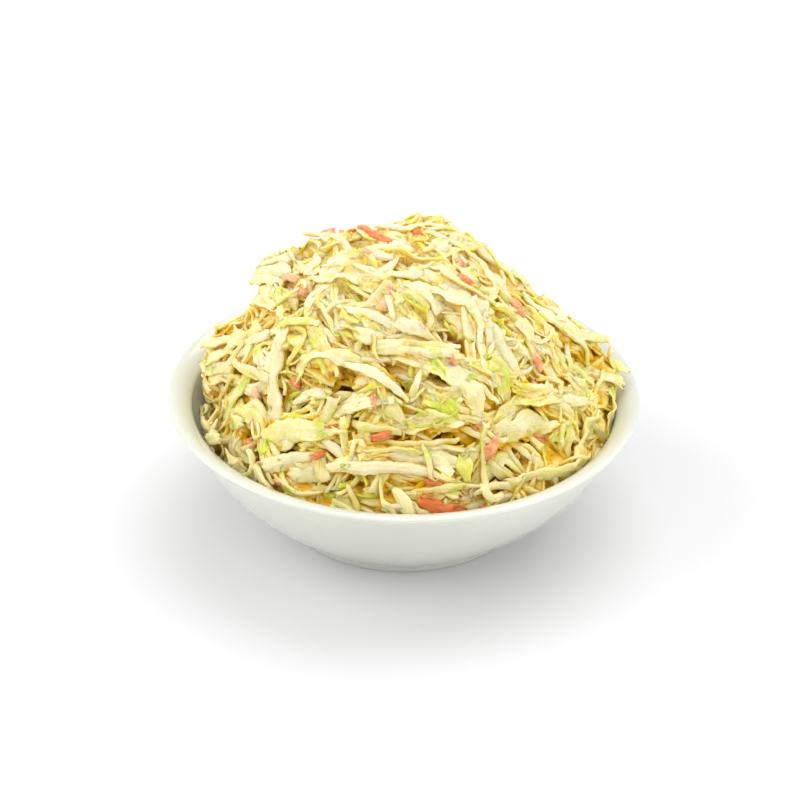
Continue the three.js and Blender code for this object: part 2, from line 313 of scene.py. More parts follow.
def cabbage_material(name, body, pale=CREAM, hollow_shade_colour=OCHRE_SHADE, lime=LIME):
    """Dressed cabbage. Fibres run along each piece and the dressing lies over the heap in pale
    patches. Painted light makes higher places, faces turned up, raised bumps and pieces that
    stand out paler; painted shade turns the colour ochre and brown in the hollows between the
    pieces, yellow on their undersides and edges, and more lime in the bumps' hollows."""
    n = Nodes(name)
    place = n.position()
    fibre = n.attribute("fibre", "Vector")
    strands = n.noise(n.stretch(fibre, 1.1, 0.07), 1.0, 3.0, 0.65)
    patches = n.noise(n.stretch(fibre, 0.45, 0.2), 1.0, 4.0, 0.6, 0.6)
    threads = n.noise(n.stretch(fibre, 2.6, 0.16), 1.0, 3.0, 0.6, 0.3)
    dressing = n.noise(place, 190.0, 4.0, 0.62, 0.4)
    sweep = n.noise(place, 130.0, 3.0, 0.6)
    blush = n.noise(place, 95.0, 3.0, 0.6)
    mottle = n.noise(place, 520.0, 4.0, 0.62, 0.5)
    grain = n.noise(place, 1600.0, 2.0, 0.6)
    # Paleness: the fibres, patches, dressing and tone are the cabbage's own; the mottle's raised
    # bumps, higher places and faces turned up are paler by painted light.
    tone_and_painted_light = n.total(
        (strands, 0.7),
        (patches, 0.4),
        (mottle, 0.7),
        (dressing, 0.6),
        (n.attribute("tone"), 0.25),
        # Painted light: higher on the heap and on faces turned up, the cabbage is paler.
        (n.ramp(n.upward(place), 0.05, 0.112, -0.07, 0.09), 1.0),
        (n.ramp(n.upward(n.normal()), 0.0, 1.0, -0.07, 0.08), 1.0),
    )
    colour = n.mix(n.ramp(tone_and_painted_light, 1.27, 1.67), body, pale)
    colour = n.mix(n.ramp(threads, 0.50, 0.68, 0.0, 0.45), colour, body)
    colour = n.mix(n.ramp(blush, 0.52, 0.72, 0.0, 0.4), colour, linear(250, 222, 172))
    # Lime where the pieces are green, along their fibres and edges, and more of it in the mottle's
    # bump hollows, which is painted shade.
    tint = n.product(
        n.ramp(sweep, 0.46, 0.64, 0.05, 1.1),
        n.attribute("green"),
        n.total((n.ramp(strands, 0.40, 0.62), 1.0), (n.attribute("rim"), 1.0)),
        n.ramp(mottle, 0.58, 0.42, 0.5, 1.5),
    )
    colour = n.mix(n.ramp(tint, 0.05, 0.75, 0.0, 0.95), colour, lime)
    # Painted shade: ochre in the hollows between the pieces.
    colour = n.mix(n.painted_shade_share(0.4, 2.2), colour, hollow_shade_colour)
    # Painted shade: yellow on the pieces' undersides and side edges.
    underside = n.ramp(n.attribute("under"), 0.3, 0.9, 0.0, 0.7)
    colour = n.mix(underside, colour, linear(236, 198, 36))
    # Painted shade: brown lower down in the pits.
    colour = n.mix(n.painted_shade_share(2.4, 5.0, 0.75), colour, linear(142, 86, 0))
    # Painted light: paler where a piece stands above its neighbours.
    colour = n.mix(n.ramp(n.attribute("depth"), 0.2, -1.2, 0.0, 0.4), colour, pale)
    n.shader.subsurface_method = "BURLEY"
    return n.shade(
        Base_Color=colour,
        Roughness=n.ramp(dressing, 0.3, 0.7, 0.34, 0.6),
        Normal=n.relief(
            (threads, 0.0003, 0.5),
            (strands, 0.0006, 0.6),
            (patches, 0.0012, 0.6),
            (dressing, 0.0010, 0.5),
            (mottle, 0.0006, 0.5),
            (grain, 0.00012, 0.4),
        ),
        IOR=1.4,
        Specular_IOR_Level=0.2,
        Subsurface_Weight=0.8,
        Subsurface_Radius=(0.0024, 0.0021, 0.0015),
        Subsurface_Scale=1.0,
    )


def carrot_material():
    n = Nodes("carrot")
    strands = n.noise(n.stretch(n.attribute("fibre", "Vector"), 1.8, 0.35), 1.0, 3.0, 0.6)
    film = n.noise(n.position(), 420.0, 4.0, 0.65, 0.5)
    colour = n.mix(n.ramp(strands, 0.3, 0.7), linear(232, 104, 40), linear(246, 148, 76))
    dressed = n.ramp(n.total((film, 0.9), (n.attribute("tone"), 0.5)), 0.50, 0.95, 0.0, 0.85)
    return n.shade(
        Base_Color=n.mix(dressed, colour, linear(254, 212, 166)),
        Roughness=n.ramp(film, 0.3, 0.7, 0.25, 0.5),
        Normal=n.relief((strands, 0.0004, 0.7), (film, 0.0003, 0.6)),
        IOR=1.42,
        Subsurface_Weight=0.2,
        Subsurface_Radius=(0.004, 0.0015, 0.0007),
        Subsurface_Scale=0.6,
        Coat_Weight=0.2,
        Coat_Roughness=0.2,
    )


def core_material():
    n = Nodes("slaw_core")
    lumps = n.noise(n.position(), 300.0, 4.0, 0.6)
    colour = n.mix(n.ramp(lumps, 0.3, 0.7), linear(238, 206, 96), linear(252, 234, 156))
    # Painted shade: the core turns ochre in the hollows.
    colour = n.mix(n.painted_shade_share(1.3, 2.5), colour, linear(226, 178, 50))
    return n.shade(
        # Painted shade: dark brown further down, in the open pockets.
        Base_Color=n.mix(n.painted_shade_share(2.3, 4.0), colour, linear(164, 104, 2)),
        Roughness=n.ramp(lumps, 0.3, 0.7, 0.35, 0.6),
        Normal=n.relief((lumps, 0.0012, 0.8)),
        IOR=1.42,
        Specular_IOR_Level=0.2,
    )


def floor_material():
    n = Nodes("floor")
    broad = n.ramp(n.noise(n.position(), 3.0), 0.3, 0.7)
    colour = n.mix(broad, linear(226, 226, 227), linear(229, 229, 230))
    return n.shade(Base_Color=colour, Roughness=0.75, IOR=1.3)


# ---- the bowl ----

WALL_FOOT = np.array([FOOT_RADIUS + 1, FOOT_HEIGHT])
WALL_TOP = np.array([RIM_RADIUS - LIP_OVERHANG, BOWL_HEIGHT - 5])
LOW_HANDLE = WALL_FOOT + (16, 12.5)
HIGH_HANDLE = WALL_TOP - (2.8, 17)
LIP = [
    (RIM_RADIUS - 4.9, BOWL_HEIGHT - 4.2),
    (RIM_RADIUS - 2.6, BOWL_HEIGHT - LIP_THICKNESS - 0.5),
    (RIM_RADIUS - 0.4, BOWL_HEIGHT - LIP_THICKNESS * 0.72),
    (RIM_RADIUS + 0.1, BOWL_HEIGHT - LIP_THICKNESS * 0.3),
    (RIM_RADIUS - 0.7, BOWL_HEIGHT + 0.1),
    (RIM_RADIUS - 3.4, BOWL_HEIGHT - 0.1),
    (RIM_RADIUS - 6.5, BOWL_HEIGHT - 1.6),
]


def wall_curve(depth):
    """The wall at a depth under its outer face, from the foot up: a Bezier curve."""
    t = np.linspace(0, 1, WALL_STEPS)[:, None]
    curve = (1 - t) ** 3 * WALL_FOOT + 3 * (1 - t) ** 2 * t * LOW_HANDLE
    curve = curve + 3 * (1 - t) * t**2 * HIGH_HANDLE + t**3 * WALL_TOP
    slope = unit(np.gradient(curve, axis=0))
    return curve + depth * np.stack([-slope[:, 1], slope[:, 0]], -1)


def rounded(points):
    """An open outline with its corners cut again and again, which rounds them."""
    points = np.array(points, float)
    for _ in range(CORNER_CUTS):
        a, b = points[:-1], points[1:]
        cut = np.stack([0.75 * a + 0.25 * b, 0.25 * a + 0.75 * b], 1).reshape(-1, 2)
        points = np.concatenate([points[:1], cut[1:-1], points[-1:]])
    return points


def level_line(start, end, height):
    return np.stack([np.linspace(start, end, FLAT_STEPS), np.full(FLAT_STEPS, height)], -1)


def bowl_piece():
    foot_inner = FOOT_RADIUS - FOOT_RING_WIDTH
    floor_top = FOOT_RECESS + WALL_THICKNESS
    foot = [
        (foot_inner - 2.5, FOOT_RECESS),
        (foot_inner - 0.6, FOOT_RECESS),
        (foot_inner + 0.2, 0.0),
        (FOOT_RADIUS - 0.4, 0.0),
        (FOOT_RADIUS + 0.1, 0.6),
        (FOOT_RADIUS + 0.1, FOOT_HEIGHT - 0.8),
        (FOOT_RADIUS + 0.5, FOOT_HEIGHT - 0.2),
    ]
    under = level_line(0.2, foot_inner - 3, FOOT_RECESS)
    inside = wall_curve(WALL_THICKNESS)[::-1]
    floor = level_line(inside[-1, 0] - 3, 0.2, floor_top)
    lip = rounded([WALL_TOP + (0.1, 0.4), *LIP, inside[0] + (0.05, 0.4)])
    outline = np.concatenate([under, rounded(foot), wall_curve(0), lip, inside, floor])
    radius, height = outline[:, :1], outline[:, 1:]
    angle = np.linspace(0, 2 * np.pi, BOWL_TURNS, endpoint=False)
    points = np.stack([radius * np.cos(angle), radius * np.sin(angle), height + 0 * angle], -1)
    middles = [(0, 0, FOOT_RECESS), (0, 0, floor_top)]
    points = np.concatenate([points.reshape(-1, 3), middles])
    return mesh_object("serving_bowl", points, tube_faces(len(outline), BOWL_TURNS))


INSIDE = wall_curve(WALL_THICKNESS + WALL_GAP)
LIP_FOOT, LIP_TOP = BOWL_HEIGHT - 1.8, BOWL_HEIGHT + 0.5
CLEAR_HEIGHTS = np.concatenate([[0.0], INSIDE[:, 1], [LIP_FOOT, LIP_TOP]])
CLEAR_RADII = np.concatenate([[38.0], INSIDE[:, 0], [RIM_RADIUS - 6.9, RIM_RADIUS - 3.4]])


def clear_radius(height):
    """The largest radius free of the bowl at a height."""
    inside = np.interp(height, CLEAR_HEIGHTS, CLEAR_RADII)
    return np.where(height > LIP_TOP, RIM_RADIUS - 0.6, inside)


# ---- the heap's form ----

SWELL_PEAKS = [direction_at(azimuth, polar) for azimuth, polar, _, _ in HEAP_SWELLS]


def heap_radius(d):
    polar = np.arccos(np.clip(d[..., 2], -1, 1))
    radius = HEAP_RADIUS + HEAP_FLARE * (polar / (np.pi / 2)) ** 6
    for peak, (_, _, height, breadth) in zip(SWELL_PEAKS, HEAP_SWELLS):
        angle = np.arccos(np.clip(d @ peak, -1, 1))
        radius = radius + height * np.exp(-((angle / math.radians(breadth)) ** 2))
    return radius


def heap_point(d, lift):
    radius = heap_radius(d) + lift
    return d * radius[..., None] + CENTRE + LEAN * d[..., 2:3]


def heap_height(points):
    """The directions of points from the heap's centre, and their heights over its form."""
    d = unit(points - CENTRE)
    for _ in range(3):
        d = unit(points - CENTRE - LEAN * d[..., 2:3])
    reach = np.linalg.norm(points - CENTRE - LEAN * d[..., 2:3], axis=-1)
    return d, reach - heap_radius(d)


class Field:
    """How high the pile has risen over the heap's form, on a grid of directions."""

    REACH = 1.75
    CELLS = 360

    def __init__(self):
        self.high = -PILE_DEPTH + PILE_ROUGHNESS * rng.normal(size=(self.CELLS, self.CELLS))

    def cell(self, d):
        polar = np.arccos(np.clip(d[..., 2], -1, 1))
        flat = unit(d[..., :2]) * polar[..., None]
        index = ((flat / self.REACH + 1) * 0.5 * self.CELLS).astype(int)
        index = np.clip(index, 0, self.CELLS - 1)
        return index[..., 0], index[..., 1]

    def read(self, d):
        return self.high[self.cell(d)]

    def lay(self, d, top):
        np.maximum.at(self.high, self.cell(d), top)

    def blend(self, rounds, rule):
        for _ in range(rounds):
            for axis in (0, 1):
                before, after = np.roll(self.high, 1, axis), np.roll(self.high, -1, axis)
                self.high = rule(before, self.high, after)

    def soften(self, rounds):
        """Spread each height over its neighbours, for finding hollows and ridges."""
        self.blend(rounds, lambda before, own, after: 0.25 * before + 0.5 * own + 0.25 * after)

    def spread(self, rounds):
        """Let each height reach its neighbours, for finding what lies by a taller piece."""
        self.blend(rounds, lambda *heights: np.max(heights, axis=0))


field = Field()


# ---- where the pieces of salad lie ----


def local_frame(azimuth, polar):
    middle = direction(azimuth, polar)
    level = np.array([-math.sin(azimuth), math.cos(azimuth), 0.0])
    return middle, level, np.cross(middle, level)


class Flow:
    """Which way the shreds lie at each place: they run in loose sweeps over the heap."""

    BREADTH = math.radians(19)

    def __init__(self):
        self.places = []
        self.ways = []

    def add(self, azimuth, polar, heading):
        middle, level, rise = local_frame(azimuth, polar)
        self.places.append(middle)
        self.ways.append(math.cos(heading) * level + math.sin(heading) * rise)

    def heading(self, azimuth, polar):
        middle, level, rise = local_frame(azimuth, polar)
        angle = np.arccos(np.clip(np.array(self.places) @ middle, -1, 1))
        near = np.exp(-((angle / self.BREADTH) ** 2))
        x, y = np.array(self.ways) @ level, np.array(self.ways) @ rise
        return 0.5 * math.atan2(np.sum(near * 2 * x * y), np.sum(near * (x * x - y * y)))


flow = Flow()

# How far down the dome the places reach: 1 is level with its centre. A power under 1 puts
# fewer of them on the crown.
DOME_DROP = 1.06
CROWN_POWER = 0.86


def places(count):
    """Even places over the dome in a random order, from a spiral of the golden angle."""
    index = rng.permutation(count)
    drop = DOME_DROP * ((index + 0.5) / count) ** CROWN_POWER
    polar = np.arccos(1 - drop) + pick(-0.05, 0.05, count)
    azimuth = index * np.pi * (3 - math.sqrt(5)) + pick(-0.2, 0.2, count)
    return zip(azimuth, np.abs(polar))


QUARTER_TURN = 1.57
STRAY_CHANCE = 0.2


def slope_for(azimuth, polar):
    """The slope of a piece: near its neighbours' mostly, and nearly level by the wall."""
    slope = flow.heading(azimuth, polar) + about(0.3)
    if pick() < STRAY_CHANCE:
        slope = pick(-1.5, 1.5)
    slope = (slope + math.pi / 2) % math.pi - math.pi / 2
    most = QUARTER_TURN * (1 - 0.72 * (min(polar, QUARTER_TURN) / QUARTER_TURN) ** 9)
    slope = min(max(slope, -most), most)
    return slope + (math.pi if pick() < 0.5 else 0.0)


# Pockets that stay open between the upper pieces: azimuth and polar angle in degrees, and
# radius in millimetres.
HOLLOWS = [
    (-127, 65, 3.6), (-133, 68, 3.5), (-132, 72, 3.0), (-70, 39, 2.6), (-59, 43, 1.6),
    (-75, 52, 2.0), (-63, 57, 2.6), (-56, 62, 2.4), (-42, 52, 2.2), (-73, 70, 3.0),
    (-68, 70, 2.2), (-41, 70, 1.8), (-45, 77, 3.0), (-58, 79, 3.0), (-60, 84, 3.4),
    (-87, 54, 1.6), (-124, 79, 2.0), (-105, 66, 2.0), (-91, 49, 1.6), (-112, 57, 2.2),
    (-90, 71, 1.6), (-85, 79, 2.4), (-110, 85, 2.0), (-29, 72, 1.8), (-23, 85, 2.4),
    (-21, 36, 1.8), (-130, 38, 2.0), (-151, 36, 1.6), (-93, 11, 1.6),
]
hollow_places = []
hollow_reach = []


def set_hollows():
    """The pockets seen in the photo, and smaller ones by the wall and all over the back."""
    for azimuth, polar, radius in HOLLOWS:
        hollow_places.append(direction_at(azimuth, polar))
        hollow_reach.append(radius / HEAP_RADIUS)
    for azimuth, polar in places(POCKETS_AT_RANDOM):
        back = math.sin(azimuth) > 0.0
        if polar > (0.2 if back else 1.05):
            hollow_places.append(direction(azimuth, polar))
            hollow_reach.append(pick(0.8, 2.4 if back else 1.6) / HEAP_RADIUS)


def open_run(d, width):
    """The longest run of a piece's line that keeps off the open pockets."""
    if not hollow_places:
        return d
    reach = np.array(hollow_reach) + 0.3 * width / HEAP_RADIUS
    blocked = np.any(d @ np.array(hollow_places).T > np.cos(reach), axis=1)
    edges = np.concatenate([[-1], np.flatnonzero(blocked), [len(d)]])
    longest = int(np.argmax(np.diff(edges)))
    return d[edges[longest] + 1 : edges[longest + 1]]


def course(azimuth, polar, heading, length, bend, waver, step, kinks):
    """The directions along a piece's line: a plane curve laid on the heap."""
    middle, level, rise = local_frame(azimuth, polar)
    count = max(6, int(round(length / step)) + 1)
    share = np.linspace(-0.5, 0.5, count)
    strays = smooth(np.cumsum(rng.normal(size=count)), 4)
    turn = heading + 2 * bend * share + waver * strays / 3
    for _ in range(kinks):
        kink = about(0.55)
        turn = turn + kink * np.clip((share - pick(-0.4, 0.4)) * count, -1, 1)
    spacing = length / (count - 1)
    x = np.cumsum(np.cos(turn)) * spacing
    y = np.cumsum(np.sin(turn)) * spacing
    x -= x[count // 2]
    y -= y[count // 2]
    radius = float(heap_radius(middle))
    return unit(middle + (x[:, None] * level + y[:, None] * rise) / radius)


def frames(line):
    along = unit(np.gradient(line, axis=0))
    out = unit(line - CENTRE)
    side = unit(np.cross(out, along))
    return along, side, np.cross(along, side)


def shifted(d, offset):
    """The directions beside a line, at a distance to its left in millimetres."""
    _, side, _ = frames(heap_point(d, np.zeros(len(d))))
    return unit(d + side * np.reshape(offset, (-1, 1)) / HEAP_RADIUS)


def drape(d, width, stiff):
    """Heights for a piece that lies on what is below it and spans the gaps there."""
    below = field.read(d)
    for offset in (-0.4, 0.4):
        below = np.maximum(below, field.read(shifted(d, offset * width)))
    high = smooth(below, 2)
    for _ in range(stiff):
        padded = np.concatenate([high[:1], high, high[-1:]])
        high = np.maximum(high, 0.5 * (padded[:-2] + padded[2:]) - 0.02)
    return high


def settle(high, top_reach, ceiling):
    """Press a piece down into the pile where it would stand out of the heap's form."""
    over = np.max(high) + top_reach - ceiling
    return high - max(over, 0.0) * 0.9


def end_lifts(count, ends, arch):
    share = np.linspace(0, 1, count)
    return arch * np.sin(np.pi * share) + ends[0] * (1 - share) ** 3 + ends[1] * share**3


def clear_of_bowl(ring):
    """Nothing may pass through the bowl: a ring of points that would is moved in."""
    for _ in range(5):
        radius = np.hypot(ring[..., 0], ring[..., 1])
        excess = np.max(radius - clear_radius(ring[..., 2]), axis=1)
        excess = np.maximum(excess, 0)
        if not excess.any():
            break
        excess = np.maximum(smooth(excess), excess)
        inward = -unit(ring.mean(1)[:, :2])
        ring[..., :2] += (inward * excess[:, None])[:, None]
    return ring


# ---- pieces of salad ----

# The share of its length over which a strip narrows to each end.
TIP = 0.28
# How far apart the ragged sides' swings are, and how far the cut edges stand in and out
# from one station to the next.
RAGGED_REACH = 3.0
FRAY = 0.16
# Millimetres to a radian of an edge's ruffle.
RUFFLE_STEP = 2.3
# The columns next to the edges, as a share of the half width.
INNER_EDGE = 0.85
# The underside flares out and down, as dressing does that gathers under an edge.
FLARE = 1.04
SKIRT = 0.3
# The shortest run of a piece that is worth laying, unless the piece is short itself.
SHORTEST = 9.0


class Kind:
    """All the pieces of one kind, which become one mesh."""

    def __init__(self, name, lay, draw):
        self.name = name
        self.lay = lay
        self.draw = draw
        self.points = []
        self.faces = []
        self.values = {}
        self.count = 0

    def scatter(self, azimuth, polar, **given):
        """Lay one piece, with random settings but for those that are given."""
        self.lay(self, azimuth, polar, **{**self.draw(azimuth, polar), **given})

    def add(self, points, faces, **values):
        self.points.append(points)
        self.faces.append(np.where(faces >= 0, faces + self.count, -1))
        for key, value in values.items():
            self.values.setdefault(key, []).append(value)
        self.count += len(points)

    def build(self, material):
        values = {key: np.concatenate(value) for key, value in self.values.items()}
        points = np.concatenate(self.points)
        d, high = heap_height(points)
        # How far each point lies under the pile's top, which sets its painted shade.
        values["depth"] = field.read(d) - high
        item = mesh_object(self.name, points, np.concatenate(self.faces), values)
        item.data.materials.append(material)
        return item


def ragged_edge(count, spacing):
    """Random values of unit size that change over the ragged sides' reach."""
    rounds = int(np.clip(2 * (RAGGED_REACH / spacing) ** 2, 1, 16))
    values = smooth(rng.normal(size=count + 2 * rounds), rounds)[rounds:-rounds]
    return np.clip(values * math.sqrt(2 * math.sqrt(math.pi * rounds / 2)), -2, 2)


def add_strip(
    kind, d, high, width, thickness, roll=0.0, twist=0.0, cup=0.0, ruffle=0.0, ragged=0.2,
    torn=0.0, ridges=0.12, taper=(0.4, 0.4), wedge=0.0, lens=0.0, lumps=0.1, across=5,
    tone=0.5, green=0.0,
):
    """One strip over a line of directions at the given heights. A wedge is wider at one end
    and a lens in the middle, and the rest says how the strip turns, curls and is torn."""
    count = len(d)
    share = np.linspace(0, 1, count)
    line = heap_point(d, high)
    along, side, face = frames(line)
    angle = roll + twist * (share - 0.5) + 0.12 * wander(count)
    cos, sin = np.cos(angle)[:, None], np.sin(angle)[:, None]
    side, face = side * cos + face * sin, face * cos - side * sin

    # Each side has its own ragged half width, drawn in towards the ends.
    start, finish = [
        end + (1 - end) * np.clip(run / TIP, 0, 1) ** 0.7
        for end, run in zip(taper, (share, 1 - share))
    ]
    outline = 0.5 * width * start * finish
    outline = outline * (1 + wedge * (2 * share - 1)) * (1 - lens * (2 * share - 1) ** 2)
    spacing = float(np.mean(np.linalg.norm(np.diff(line, axis=0), axis=1)))
    fray = FRAY * min(1.0, 0.3 * width)
    halves = [outline * (1 + ragged * ragged_edge(count, spacing)) for _ in range(2)]
    left, right = [half + fray * rng.normal(size=count) for half in halves]

    # Across the strip: its columns, how it bulges and is grooved, and how it curls.
    s = np.concatenate([[-1], np.linspace(-INNER_EDGE, INNER_EDGE, across - 2), [1]])[None]
    half = np.where(s < 0, left[:, None], right[:, None])
    fullness = (0.55 + 0.45 * start * finish)[:, None]
    bulge = 0.5 * thickness * (1 - np.abs(s) ** 3) ** 0.6 * fullness
    groove = ridges * thickness * np.where(np.arange(across) % 2, 1.0, -1.0)[None]
    groove = groove * (1 + 0.6 * rng.normal(size=(1, across))) * (np.abs(s) < 0.95)
    run = share * spacing * (count - 1)
    phase = run[:, None] / RUFFLE_STEP + pick(0, 6) + 2.2 * (s > 0)
    wave = ruffle * np.abs(s) ** 1.5 * np.sin(phase)
    uneven = smooth(rng.normal(size=(count, across))) * lumps * (0.5 + 0.5 * thickness)
    curl = cup * (s**2 - 0.45) + wave + 1.5 * uneven

    # Each ring goes over the upper face and back under the lower one.
    layers = [(s * half, curl + bulge + groove)]
    layers.append((s * half * FLARE / INNER_EDGE, curl - bulge - SKIRT))
    upper, lower = [
        line[:, None] + side[:, None] * beside[..., None] + face[:, None] * above[..., None]
        for beside, above in layers
    ]
    ring = np.concatenate([upper, lower[:, -2:0:-1]], 1)
    columns = np.concatenate([np.arange(across), np.arange(across - 2, 0, -1)])
    around = len(columns)
    if torn:
        for end, way in ((0, -1), (count - 1, 1)):
            reach = torn * pick(-0.5, 1.0, across)[columns]
            ring[end] += way * reach[:, None] * along[end]
            ring[end - way] += 0.4 * way * reach[:, None] * along[end]
    ring = clear_of_bowl(ring)

    ring_share = s[0][columns]
    seed = pick(0, 900)
    lengthwise = np.repeat(run, around)
    crosswise = (ring_share * outline[:, None]).ravel()
    fibre = np.stack([crosswise, lengthwise, np.zeros(count * around)], -1) + seed
    # Painted shade: the lower face, the ends' middles and, at half strength, the side edges are
    # marked for the yellow underside colour.
    edge_painted_shade = 0.5 * (np.abs(ring_share) > 0.99)
    under = np.tile(np.where(np.arange(around) < across, edge_painted_shade, 1.0), count)
    total = count * around + 2
    kind.add(
        np.concatenate([ring.reshape(-1, 3), [ring[0].mean(0), ring[-1].mean(0)]]),
        tube_faces(count, around),
        fibre=np.concatenate([fibre, fibre[[0, -1]]]),
        tone=np.full(total, tone),
        rim=np.concatenate([np.tile(ring_share**2, count), [1.0, 1.0]]),
        under=np.concatenate([under, [0.7, 0.7]]),
        green=np.full(total, green),
    )

    top = high + 0.45 * thickness + 0.22 * width * np.abs(np.sin(angle))
    reach = np.abs(np.cos(angle)) * 0.5 * width
    for offset in np.linspace(-INNER_EDGE, INNER_EDGE, max(3, int(width))):
        beside = shifted(d, offset * reach)
        field.lay(beside, top)
        field.lay(unit(beside[:-1] + beside[1:]), 0.5 * (top[:-1] + top[1:]))


def lay_piece(
    kind, azimuth, polar, heading, length, width, thickness, bend=0.0, waver=0.25, kinks=0,
    stiff=6, lift=0.0, ends=(0.0, 0.0), arch=0.0, ceiling=0.9, step=2.3, roll=0.0, shown=False,
    **looks,
):
    """One piece at a place, laid on what is below it. One that is shown crosses pockets."""
    d = course(azimuth, polar, heading, length, bend, waver, step, kinks)
    d = d if shown else open_run(d, width)
    count = len(d)
    if count < 5 or count * step < min(SHORTEST, 0.8 * length):
        return
    high = drape(d, width, stiff) + 0.35 * thickness
    high = settle(high, 0.5 * thickness + 0.4 * width * abs(math.sin(roll)), ceiling)
    high = high + lift + end_lifts(count, ends, arch)
    add_strip(kind, d, high, width, thickness, roll=roll, **looks)


def lay_bundle(
    kind, azimuth, polar, heading, length, width, fibres, bend=0.0, waver=0.2, kinks=0,
    stiff=8, lift=0.0, ends=(0.0, 0.0), arch=0.0, ceiling=0.9, step=2.3, fan=0.5, root=0.0,
    tone=0.5, green=0.0, shown=False,
):
    """A torn strip that has come apart along its fibres: they run side by side, and fan
    out and stop short at different places towards its ends. Up to its root it is whole."""
    d = course(azimuth, polar, heading, length, bend, waver, step, kinks)
    d = d if shown else open_run(d, width)
    count = len(d)
    if count < 9:
        return
    high = settle(drape(d, width, stiff) + 0.3, 0.6, ceiling)
    high = high + lift + end_lifts(count, ends, arch)
    share = np.linspace(-1, 1, count)
    spacing = width / fibres
    whole = int(root * count)
    if whole > 5:
        add_strip(
            kind, d[:whole], high[:whole], width, pick(1.0, 1.5),
            cup=about(0.4), ragged=0.25, torn=1.0, ridges=0.25,
            taper=(pick(0.2, 0.8), 0.8), across=7, tone=tone, green=green,
        )
    for k in range(fibres):
        offset = (k - 0.5 * (fibres - 1)) * spacing
        spread = 1 + fan * np.abs(share - pick(-0.3, 0.3)) ** 2.5
        line = shifted(d, offset * spread + 0.25 * wander(count, 3))
        own = high + pick(-0.45, 0.35) + 0.3 * wander(count, 3)
        own = own + end_lifts(count, pick(-1.4, 0.9, 2), 0.0)
        first, last = max(whole - 3, 0) + rng.integers(0, 3), count - rng.integers(0, 3)
        if last - first < 4:
            continue
        add_strip(
            kind, line[first:last], own[first:last], spacing * pick(1.0, 1.7),
            pick(0.8, 1.3), roll=about(0.35), twist=about(0.5), ragged=0.14, ridges=0.1,
            taper=pair(0.15, 0.7), across=4,
            tone=np.clip(tone + about(0.12), 0, 1), green=np.clip(green + about(0.1), 0, 1),
        )


def either_end(low, high, chance):
    """A lift for each end: mostly it dips under its neighbours, at times it stands free."""
    return tuple(
        pick(0.4, high) if pick() < chance else pick(low, 0.0) for _ in range(2)
    )


def pick_green():
    return np.clip(rng.normal(0.3, 0.3), 0, 1)


def draw_shred(azimuth, polar):
    return dict(
        heading=slope_for(azimuth, polar),
        length=pick(18, 46), width=pick(1.9, 4.4), thickness=pick(0.8, 1.4),
        bend=rng.standard_t(3) * 0.5, waver=pick(0.1, 0.6), kinks=rng.integers(2),
        ends=either_end(-2.6, 1.6, 0.22), arch=pick(-0.3, 0.6),
        roll=about(0.4), twist=about(0.9), cup=about(0.35), ruffle=pick(0, 0.5),
        ragged=pick(0.1, 0.3), torn=pick(0.8, 3.0), taper=pair(0.35, 1.0),
        wedge=pick(-0.4, 0.4), lens=pick(-0.1, 0.1), lumps=pick(0.05, 0.2),
        tone=pick(), green=pick_green(),
    )


def draw_bundle(azimuth, polar):
    count = rng.integers(3, 6)
    return dict(
        heading=slope_for(azimuth, polar),
        length=pick(24, 50), width=count * pick(1.3, 1.9), fibres=count,
        bend=about(0.35), waver=pick(0.05, 0.4), kinks=rng.integers(2),
        root=pick(0.0, 0.65), ends=either_end(-2.4, 1.4, 0.25), arch=pick(-0.2, 0.6),
        fan=pick(0.0, 0.9), tone=pick(), green=pick_green(),
    )


def draw_strand(azimuth, polar):
    return dict(
        heading=slope_for(azimuth, polar),
        length=pick(16, 42), width=pick(1.0, 2.2), thickness=pick(0.8, 1.3),
        bend=np.clip(rng.standard_t(3) * 0.7, -1.5, 1.5), waver=pick(0.3, 0.9),
        kinks=rng.integers(3), ends=either_end(-1.8, 1.8, 0.3), arch=pick(-0.2, 0.8),
        roll=about(0.5), ragged=pick(0.1, 0.25), taper=pair(0.4, 0.95), across=4,
        tone=pick(), green=pick_green(),
    )


def draw_rib(azimuth, polar):
    return dict(
        heading=slope_for(azimuth, polar),
        length=pick(18, 42), width=pick(3.2, 6.0), thickness=pick(1.2, 2.0),
        bend=about(0.35), waver=pick(0.05, 0.3), kinks=rng.integers(2),
        ends=either_end(-3.0, 1.6, 0.2), arch=pick(0, 0.8),
        roll=about(0.3), twist=about(0.4), cup=about(0.3),
        ragged=pick(0.05, 0.16), torn=pick(0.5, 2.5), ridges=pick(0.1, 0.25),
        taper=pair(0.3, 0.9), wedge=pick(-0.4, 0.4), lens=pick(-0.1, 0.25),
        lumps=pick(0.05, 0.15), across=7, stiff=12,
        tone=pick(0.5, 1.0), green=pick_green() * 0.5,
    )


def draw_leaf(azimuth, polar):
    return dict(
        heading=slope_for(azimuth, polar),
        length=pick(12, 30), width=pick(4.0, 8.5), thickness=pick(0.4, 0.7),
        bend=about(0.4), waver=pick(0.1, 0.5), kinks=rng.integers(2),
        ends=either_end(-2.2, 1.6, 0.28), arch=pick(-0.2, 0.6),
        roll=about(0.3), twist=about(0.5), cup=np.clip(about(0.7), -1.0, 1.0),
        ruffle=pick(0.3, 1.0), ragged=pick(0.12, 0.3), torn=pick(1.0, 4.0),
        ridges=pick(0.12, 0.35), taper=pair(0.1, 0.95), wedge=pick(-0.7, 0.7),
        lens=pick(-0.2, 0.5), lumps=pick(0.1, 0.35), across=9, step=1.7,
        tone=pick(), green=pick_green() * 1.2,
    )


